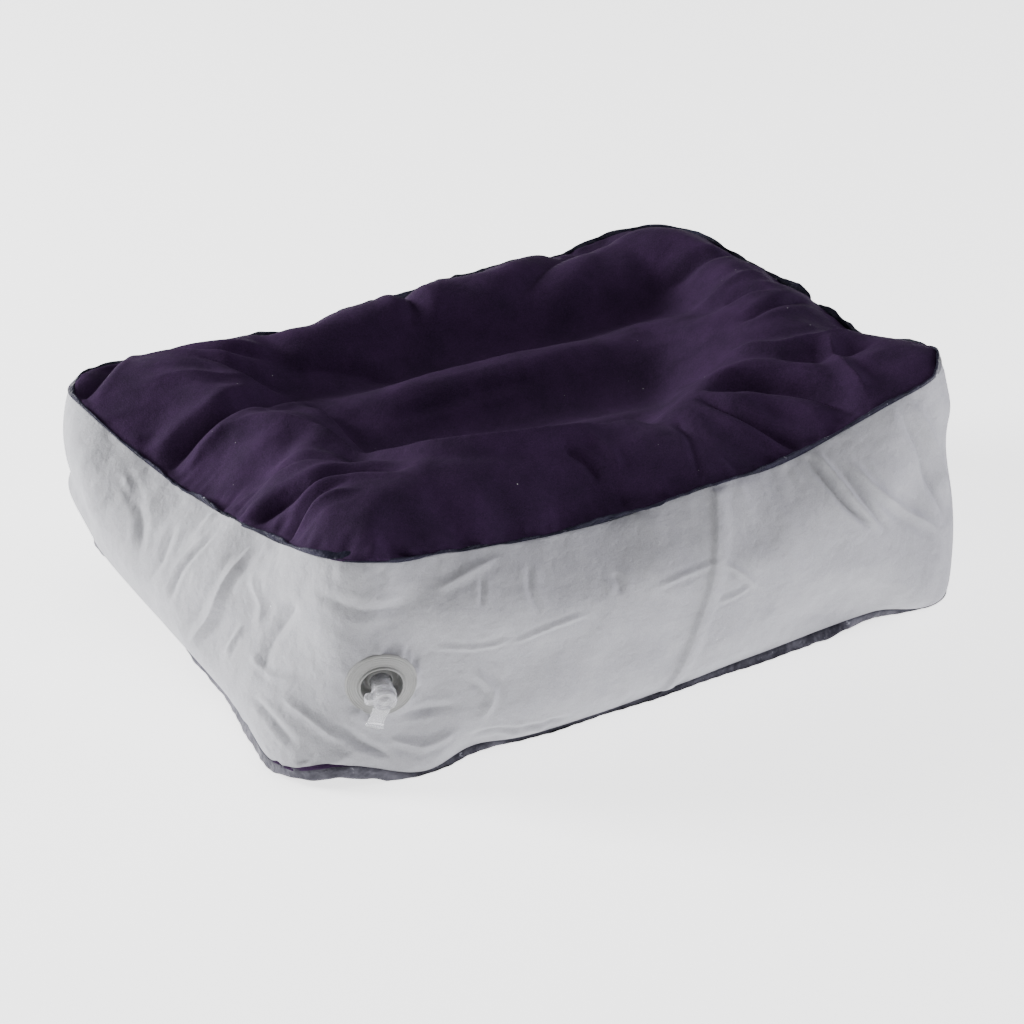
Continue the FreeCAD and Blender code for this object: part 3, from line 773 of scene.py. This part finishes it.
def clear_vinyl():
    """Soft clear vinyl, faintly milky, with flow marks."""
    nodes = Nodes("clear_vinyl")
    nodes.link("Base Color", nodes.mix(nodes.noise(160), (0.86, 0.86, 0.90, 1), (0.97, 0.97, 1.0, 1)))
    nodes.link("Roughness", nodes.between(nodes.noise(500), 0.3, 0.7, 0.05, 0.14))
    nodes.bump([(nodes.noise(600, detail=2), 0.0003)])
    nodes.set(Transmission_Weight=0.82, IOR=1.46, Specular_IOR_Level=0.6)
    return nodes.material


def floor_white():
    """The plain floor, faintly lit through like a light table so that it stays pale."""
    nodes = Nodes("floor_white")
    nodes.shader.inputs["Emission Color"].default_value = (1.0, 1.0, 1.0, 1.0)
    nodes.shader.inputs["Emission Strength"].default_value = FLOOR_GLOW
    nodes.link("Base Color", nodes.mix(nodes.noise(3), (0.90, 0.90, 0.90, 1), (0.93, 0.93, 0.93, 1)))
    nodes.set(Roughness=0.9)
    return nodes.material


FLOOR_GLOW = 2.2
# The pale colour of the welds' painted glints (painted highlights).
PAINTED_GLINT = (0.26, 0.26, 0.30, 1)
PLUM = flock("plum_flock", (0.0105, 0.0046, 0.017, 1), (0.037, 0.0145, 0.052, 1), (0.5, 0.5, 0.5, 1), 0.12,
             0.0030, 0.0005)
GREY = flock("grey_flock", (0.30, 0.30, 0.325, 1), (0.43, 0.43, 0.455, 1), (0.75, 0.75, 0.75, 1), 0.10,
             0.0075, 0.0007)
WELD = seam_weld("dark_weld", (0.008, 0.008, 0.016, 1), (0.026, 0.024, 0.042, 1))
BASE_WELD = seam_weld("base_weld", (0.035, 0.034, 0.045, 1), (0.115, 0.112, 0.135, 1))
MOULDED = soft_moulding("grey_moulding", (0.21, 0.21, 0.206, 1), (0.28, 0.28, 0.274, 1), 0.45)
SHEET = soft_moulding("inner_sheet", (0.24, 0.24, 0.27, 1), (0.30, 0.30, 0.33, 1), 0.50)
CLEAR = clear_vinyl()

# ---------------------------------------------------------------- the valve

# Outlines about the valve's axis as (radius, outward place), in millimetres, from the CAD.
AROUND = 96
FLANGE_EDGE = (12.2, 19.5)
FLANGE_RISE = 0.75
FLANGE_RINGS = (
    (18.7, 0.3, 0.3), (17.5, 0.25, 0.24), (16.3, 0.22, 0.12), (14.9, 0.22, 0.1), (13.4, 0.3, 0.22),
)
CUP_PROFILE = (
    (6.1, -9.2), (12.2, -9.2), (12.3, -8.6), (12.3, 0.6), (12.35, 1.3), (12.15, 1.75), (11.75, 1.9),
    (11.4, 1.7), (11.2, 1.1), (11.15, -0.6), (11.3, -1.6), (11.0, -2.8), (11.2, -3.9), (10.9, -5.1),
    (11.0, -6.2), (10.4, -7.6), (9.7, -7.9), (8.9, -7.4), (8.0, -6.2), (7.2, -4.8), (6.6, -3.8),
    (6.2, -3.5), (6.1, -3.8),
)
LIP_BASE = -1.0
STEM_PROFILE = (
    (4.0, -12.0), (5.8, -12.0), (5.8, -10.6), (8.0, -10.6), (8.0, -9.5), (5.8, -9.4), (5.7, -4.0),
    (5.7, 1.0), (5.95, 1.4), (5.95, 2.0), (5.7, 2.4), (5.75, 3.4), (6.0, 3.8), (6.0, 4.4), (5.75, 4.8),
    (5.8, 8.9), (6.2, 9.4), (6.25, 9.9), (5.9, 10.5), (5.8, 10.8), (5.5, 11.0), (4.2, 11.0), (4.0, 10.8),
)
PLUG_PROFILE = (
    (0.0, 4.0), (2.8, 4.0), (3.2, 4.2), (3.8, 5.4), (3.9, 6.0), (3.9, 11.1), (6.1, 11.1), (6.5, 11.3),
    (6.6, 11.8), (6.55, 12.7), (6.2, 13.1), (5.3, 13.2), (4.9, 12.9), (4.6, 12.6), (3.2, 12.6),
    (2.9, 12.9), (2.4, 13.1), (0.0, 13.1),
)
TAB_TILT = math.radians(18)
TAB_MIDDLE = 12.1
# Along the tab from the plug's axis: (distance, half width, half thickness).
TAB_SECTIONS = (
    (3.0, 4.0, 0.65), (6.2, 4.9, 0.7), (9.5, 4.3, 0.7), (12.5, 4.1, 0.7), (15.2, 4.4, 0.7),
    (16.4, 4.6, 0.75), (16.8, 4.9, 1.1), (17.3, 5.1, 1.25), (18.2, 5.15, 1.28), (18.8, 5.1, 1.2),
    (19.1, 4.9, 0.9),
)
TAB_RIBS = (7, 0.16)
TAB_RIBBED = ((8.5, 10.0), (16.4, 15.6))
STRAP_RING = ((5.85, 6.3), (6.9, 6.3), (6.95, 6.5), (6.95, 7.8), (6.9, 7.95), (5.85, 7.95))
STRAP_PATH = ((-6.3, 7.1), (-7.4, 7.1), (-9.4, 7.4), (-10.3, 9.6), (-9.4, 11.8), (-7.6, 12.1), (-5.6, 12.1))
STRAP_HALF = (2.0, 0.5)
STRAP_STRETCH = (7.6, 11.8)


def polygon_mesh(name, points, faces):
    """A mesh from arrays of points and a list of faces with any number of corners."""
    mesh = bpy.data.meshes.new(name)
    mesh.from_pydata(np.asarray(points).tolist(), [], faces)
    mesh.polygons.foreach_set("use_smooth", [True] * len(mesh.polygons))
    mesh.validate()
    mesh.update()
    return mesh


def merged(mesh):
    """The mesh with the points that share a place, such as those on a lathe's axis, made one."""
    shape = bmesh.new()
    shape.from_mesh(mesh)
    bmesh.ops.remove_doubles(shape, verts=shape.verts, dist=1e-6)
    bmesh.ops.recalc_face_normals(shape, faces=shape.faces)
    shape.to_mesh(mesh)
    shape.free()
    return mesh


def lathe_mesh(name, profile, on_wall_above=None):
    """A closed outline turned about the valve's axis; what is above a height follows the wall."""
    angle = np.linspace(0, 2 * np.pi, AROUND, endpoint=False)[:, None]
    radius, out = np.array(profile).T
    ring = np.stack([np.cos(angle) * radius, np.sin(angle) * radius, out + 0 * angle], axis=-1)
    if on_wall_above is not None:
        ring[..., 2] += VALVE.wall_rise(ring) * (out > on_wall_above)
    count = len(profile)
    index = np.arange(AROUND * count).reshape(AROUND, count)
    index = np.hstack([index, index[:, :1]])
    return merged(mesh_of(name, VALVE.world(ring).reshape(-1, 3), grid_quads(index, closed=True)))


def flange_profile():
    """The flange's outline: a thin skirt on the wall with raised rings pressed into it."""
    inner, outer = FLANGE_EDGE
    radius = np.linspace(outer - 0.25, inner + 0.2, 70)
    rise = FLANGE_RISE + sum(
        height * np.exp(-(((radius - place) / width) ** 2)) for place, width, height in FLANGE_RINGS
    )
    top = list(zip(radius, rise))
    return [(inner, -0.6), (outer, -0.6), (outer, FLANGE_RISE - 0.35)] + top + [(inner, FLANGE_RISE - 0.3)]


def section_ring(half_width, half_thickness, count=32):
    """A rounded oblong cross-section, as (across, through) points."""
    angle = np.linspace(0, 2 * np.pi, count, endpoint=False)
    squareness = 0.42
    across = np.sign(np.cos(angle)) * np.abs(np.cos(angle)) ** squareness * half_width
    through = np.sign(np.sin(angle)) * np.abs(np.sin(angle)) ** squareness * half_thickness
    return np.column_stack([across, through])


def capped_tube(name, rings):
    """A mesh over a row of closed rings, closed at both ends."""
    count, around = rings.shape[:2]
    index = np.arange(count * around).reshape(count, around)
    looped = np.hstack([index, index[:, :1]])
    faces = grid_quads(looped).tolist() + [index[0].tolist(), index[-1].tolist()]
    return merged(polygon_mesh(name, rings.reshape(-1, 3), faces))


def tab_mesh():
    """The plug's pull tab: waisted, ribbed on its face, with a thick bar at its end."""
    distance, half_width, half_thickness = np.array(TAB_SECTIONS).T
    steps = np.linspace(distance[0], distance[-1], 60)
    ribs, rib_height = TAB_RIBS
    rings = []
    for step in steps:
        width = np.interp(step, distance, half_width)
        thickness = np.interp(step, distance, half_thickness)
        ring = section_ring(width, thickness, 64)
        ribbed = smoothstep(*TAB_RIBBED[0], step) * smoothstep(*TAB_RIBBED[1], step)
        wave = np.cos(ring[:, 0] / width * ribs * np.pi) * rib_height * ribbed
        ring[:, 1] += np.sign(ring[:, 1]) * wave * (np.abs(ring[:, 1]) > 0.8 * thickness)
        across, through = ring.T
        turned_x = across * math.cos(TAB_TILT) - step * math.sin(TAB_TILT)
        turned_y = -step * math.cos(TAB_TILT) - across * math.sin(TAB_TILT)
        rings.append(VALVE.world(np.column_stack([turned_x, turned_y, TAB_MIDDLE + through])))
    return capped_tube("plug_tab", np.array(rings))


def strap_mesh():
    """The strap: a ring round the stem and a band that loops over to the plug's head."""
    path = smooth_path(STRAP_PATH, 40)
    heading = unit(np.gradient(path, axis=0))
    rings = []
    for (x, out), (run_x, run_out) in zip(path, heading):
        across, through = section_ring(*STRAP_HALF, 32).T
        rings.append(VALVE.world(np.column_stack([x - through * run_out, across, out + through * run_x])))
    band = capped_tube("strap_band", np.array(rings))
    ring = lathe_mesh("strap_ring", STRAP_RING)
    return joined("plug_strap", [band, ring])


def joined(name, meshes):
    """One mesh of several."""
    shape = bmesh.new()
    for mesh in meshes:
        shape.from_mesh(mesh)
    whole = bpy.data.meshes.new(name)
    shape.to_mesh(whole)
    shape.free()
    whole.polygons.foreach_set("use_smooth", [True] * len(whole.polygons))
    return whole


def add_valve():
    """The valve's moulded pieces, in place of the CAD's plainer ones."""
    flange = lathe_mesh("flange_ring", flange_profile(), on_wall_above=-99)
    add_piece("flange_ring", flange, CUSHION, MOULDED, "grey_moulding", "valve_flange")
    cup = lathe_mesh("stem_cup", CUP_PROFILE, on_wall_above=LIP_BASE)
    add_piece("stem_cup", cup, CUSHION, MOULDED, "grey_moulding", "valve_cup")
    add_piece("blow_stem", lathe_mesh("blow_stem", STEM_PROFILE), STEM, CLEAR, "clear_moulding", "valve_stem")
    plug = joined("stem_plug", [lathe_mesh("plug_head", PLUG_PROFILE), tab_mesh()])
    add_piece("stem_plug", plug, PLUG, CLEAR, "clear_moulding", "valve_plug")
    strap = add_piece("strap", strap_mesh(), None, CLEAR, "clear_moulding", "plug_strap")
    start, end = (VALVE.world([STRAP_PATH[1][0], 0, out]) for out in STRAP_STRETCH)
    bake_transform(strap)


# ---------------------------------------------------------------- the bag's sheets

SHEET_THICKNESS = 0.0006
BAND_SMOOTHING = (0.014, 14)
PANEL_SMOOTHING = 10
WALL_SMOOTHING = 10
SMOOTHING_INSET = (0.000, 0.012)
FOLD_GROUND = 40
SEAM_FADE = (0.001, 0.007)
LAP_ALONG = 0.199
LAP_LEAN = 0.325
LAP_STEP = 0.0024
LAP_SOFT = 0.0008
LAP_FADE = (0.014, 0.004)
TOP_SEED, WALL_TOP_SEED, WALL_LOW_SEED, BASE_SEED = 11, 12, 13, 20
FINE_ROUNDS = 2


def distance_to_edge(flat):
    """How far flat points of a panel are from the cut outline, roughly."""
    inside_x = PATTERN_LENGTH / 2 - np.abs(flat[..., 0])
    inside_y = PATTERN_DEPTH / 2 - np.abs(flat[..., 1])
    corner_x = np.maximum(PATTERN_CORNER - inside_x, 0)
    corner_y = np.maximum(PATTERN_CORNER - inside_y, 0)
    rounded = PATTERN_CORNER - np.hypot(corner_x, corner_y)
    return np.where((corner_x > 0) & (corner_y > 0), rounded, np.minimum(inside_x, inside_y))


def band_weight(flat):
    """How near a flat point is to the lines where the bands hold the top panel."""
    away = np.minimum(*(beyond_segment(flat, *ends) for ends in BANDS))
    return np.exp(-((away / BAND_SMOOTHING[0]) ** 2))


def loop_along(flat):
    """How far round the cut outline a panel's flat point lies, like the wall's own measure."""
    angle = np.arctan2(flat[..., 1] / PATTERN_DEPTH, flat[..., 0] / PATTERN_LENGTH)
    return (angle / (2 * np.pi) + 0.625) % 1 * 2 * (PATTERN_LENGTH + PATTERN_DEPTH)


def panel_sheet(points, flat, folds, seed):
    """A panel's fine grid of points: smoothed over the bands, folded, and puckered at its seam."""
    points, flat = finer(finer(points, 0), 1), finer(finer(flat, 0), 1)
    points = smoothed(points, PANEL_SMOOTHING, smoothstep(*SMOOTHING_INSET, distance_to_edge(flat)))
    points = smoothed(points, BAND_SMOOTHING[1], band_weight(flat))
    broad = smoothed(points, FOLD_GROUND, 1 + 0 * flat[..., 0])
    for _ in range(FINE_ROUNDS - 1):
        points, broad, flat = (finer(finer(grid, 0), 1) for grid in (points, broad, flat))
    inset = distance_to_edge(flat)
    lift = folds_lift(flat, 0, folds) if folds else 0 * inset
    around = 2 * (PATTERN_LENGTH + PATTERN_DEPTH)
    lift = lift + pucker_lift(loop_along(flat), inset, around, seed)
    lift = lift * smoothstep(*SEAM_FADE, inset)
    return points + outward(broad) * lift[..., None]


def wall_sheet_points(points, along, heights):
    """The wall's fine grid, rows round the bag: folded, puckered and stepped at its lap."""
    flat = np.stack(np.broadcast_arrays(along[:-1, None], heights[None]), axis=-1)
    around = along[-1]
    for _ in range(FINE_ROUNDS):
        points = finer(finer(points, 0, closed=True), 1)
        spread = np.concatenate([flat, flat[:1] + np.array([around, 0])])
        flat = finer(finer(spread, 0)[:-1], 1)
    inset = np.minimum(flat[..., 1], WALL_HEIGHT - flat[..., 1])
    lift = folds_lift(flat, around, WALL_FOLDS)
    for seed, from_seam in ((WALL_TOP_SEED, WALL_HEIGHT - flat[..., 1]), (WALL_LOW_SEED, flat[..., 1])):
        lift = lift + pucker_lift(flat[..., 0] % around, from_seam, around, seed)
    lap = flat[..., 0] - LAP_ALONG - LAP_LEAN * flat[..., 1]
    lift = lift + LAP_STEP * smoothstep(-LAP_SOFT, LAP_SOFT, lap) * smoothstep(*LAP_FADE, lap)
    away = np.hypot(*np.moveaxis(VALVE.local(points)[..., :2], -1, 0)) * MM
    calm = smoothstep(VALVE_HELD - 0.002, VALVE_HELD + 0.012, away)
    lift = lift * smoothstep(*SEAM_FADE, inset) * calm
    return points + outward(points, closed=True) * lift[..., None]


def solid_sheet(piece):
    """Gives a sheet its thickness, inwards."""
    solid = piece.modifiers.new("thickness", "SOLIDIFY")
    solid.thickness = SHEET_THICKNESS
    solid.offset = -1
    return piece


def add_bag():
    """Blows the bag up and adds its top, wall and base, with the wall open where the valve's cup is."""
    pattern = Pattern(GRID_STEP)
    blown = settle(inflate(pattern))
    blown[pattern.wall.T] = smoothed_wall(blown[pattern.wall.T], WALL_SMOOTHING)
    flat = pattern.points[:, :2]
    top = panel_sheet(blown[pattern.top], flat[pattern.top], TOP_FOLDS, TOP_SEED)
    base = panel_sheet(blown[pattern.bottom], flat[pattern.bottom], (), BASE_SEED)
    wall = wall_sheet_points(blown[pattern.wall.T], pattern.along, pattern.heights)
    top_piece = add_piece("top_sheet", sheet_mesh("top_sheet", top), CUSHION, PLUM, "plum_flock", "top_panel")
    base_mesh = sheet_mesh("base_sheet", base[::-1])
    base_piece = add_piece("base_sheet", base_mesh, CUSHION, PLUM, "plum_flock", "bottom_panel")
    wall_mesh = sheet_mesh("wall_sheet", wall, closed=True)
    open_for_cup(wall_mesh)
    wall_piece = add_piece("wall_sheet", wall_mesh, CUSHION, GREY, "grey_flock", "side_wall")
    for piece in (top_piece, base_piece, wall_piece):
        solid_sheet(piece)
    add_fins(pattern, blown)


def open_for_cup(mesh):
    """Takes out the part of the wall that the valve's cup fills."""
    shape = bmesh.new()
    shape.from_mesh(mesh)
    inner = FLANGE_EDGE[0] + 0.8
    place = VALVE.local(np.array([vertex.co for vertex in shape.verts]))
    inside = (np.hypot(place[:, 0], place[:, 1]) < inner) & (np.abs(place[:, 2]) < 2 * inner)
    gone = [vertex for vertex, taken in zip(shape.verts, inside) if taken]
    bmesh.ops.delete(shape, geom=gone, context="VERTS")
    shape.to_mesh(mesh)
    shape.free()


def add_fins(pattern, blown):
    """The welded fins round the top and bottom seams."""
    wall = blown[pattern.wall]
    columns, rows = pattern.loop()
    inner_columns = np.clip(columns, 1, pattern.columns - 1)
    inner_rows = np.clip(rows, 1, pattern.rows - 1)
    sides = (
        ("top_fin", wall[-1], pattern.top, wall[-2], FIN_DROOP[0], WELD, "top_seam_fin"),
        ("base_fin", wall[0], pattern.bottom, wall[1], FIN_DROOP[1], BASE_WELD, "bottom_seam_fin"),
    )
    for name, seam, panel, wall_inside, droop, material, node in sides:
        panel_inside = blown[panel[inner_columns, inner_rows]]
        for _ in range(FINE_ROUNDS):
            seam, panel_inside, wall_inside = (
                finer(line[:, None], 0, closed=True)[:, 0] for line in (seam, panel_inside, wall_inside)
            )
        gaps = np.linalg.norm(np.roll(seam, -1, axis=0) - seam, axis=1)
        along = np.concatenate([[0], np.cumsum(gaps)[:-1]])
        rings = fin_rings(seam, panel_inside, wall_inside, droop, along, gaps.sum())
        index = np.arange(rings.shape[0] * rings.shape[1]).reshape(rings.shape[:2])
        index = np.hstack([index, index[:, :1]])
        mesh = merged(mesh_of(name, rings.reshape(-1, 3), grid_quads(index, closed=True)))
        add_piece(name, mesh, CUSHION, material, "seam_weld", node)


def dress_cad_nodes():
    """Gives the CAD nodes that stay their finished material."""
    inner = (
        "front_tension_band", "front_band_top_tape", "front_band_bottom_tape",
        "rear_tension_band", "rear_band_top_tape", "rear_band_bottom_tape",
    )
    for names, material in ((inner, SHEET), (("check_flap",), CLEAR)):
        for name in names:
            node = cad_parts[name]
            for slot in node.material_slots:
                slot.material = material


# ---------------------------------------------------------------- floor, lights and camera

CAMERA_BEARING = math.radians(-33.76)
CAMERA_RISE = math.radians(27.49)
CAMERA_DISTANCE = 1.8664
CAMERA_TARGET = Vector((-0.0194, -0.0269, 0.065))
CAMERA_LENS = 112.5
# Lights: (place, size, watts, colour).
LIGHTS = (
    ((-1.7, 1.50, 0.85), 0.8, 122, (1.0, 1.0, 1.0)),
    ((0.3, -0.5, 1.9), 1.2, 12, (1.0, 1.0, 1.0)),
    ((1.8, -1.0, 0.6), 1.2, 24, (0.88, 0.85, 1.0)),
)
WORLD_STRENGTH = 0.22
FLOOR_SIZE = 12.0


def aimed(place):
    """The turn that points a camera or light at the cushion."""
    return (CAMERA_TARGET - Vector(place)).to_track_quat("-Z", "Y").to_euler()


def add_camera():
    """The camera, at the height and side that the cushion is seen from."""
    flat = math.cos(CAMERA_RISE)
    toward = Vector((
        math.sin(CAMERA_BEARING) * flat, -math.cos(CAMERA_BEARING) * flat, math.sin(CAMERA_RISE),
    ))
    camera = bpy.data.cameras.new("camera")
    camera.lens = CAMERA_LENS
    holder = bpy.data.objects.new("camera", camera)
    holder.location = CAMERA_TARGET + toward * CAMERA_DISTANCE
    holder.rotation_euler = aimed(holder.location)
    bpy.context.scene.collection.objects.link(holder)
    bpy.context.scene.camera = holder


def add_stage():
    """A pale floor, soft lights and an even surround."""
    half = FLOOR_SIZE / 2
    corners = [(-half, -half, 0), (half, -half, 0), (half, half, 0), (-half, half, 0)]
    floor = link("floor", mesh_of("floor", corners, [(0, 1, 2, 3)]))
    floor.location.z = -0.0006
    floor.data.materials.append(floor_white())
    for number, (place, size, watts, color) in enumerate(LIGHTS):
        light = bpy.data.lights.new(f"light_{number}", "AREA")
        light.size = size
        light.energy = watts
        light.color = color
        holder = bpy.data.objects.new(f"light_{number}", light)
        holder.location = place
        holder.rotation_euler = aimed(place)
        bpy.context.scene.collection.objects.link(holder)
    world = bpy.data.worlds.new("surround")
    world.use_nodes = True
    background = world.node_tree.nodes["Background"]
    background.inputs["Color"].default_value = (1.0, 1.0, 1.0, 1.0)
    background.inputs["Strength"].default_value = WORLD_STRENGTH
    bpy.context.scene.world = world


# ---------------------------------------------------------------- the whole

add_bag()
add_valve()
dress_cad_nodes()
add_stage()
add_camera()
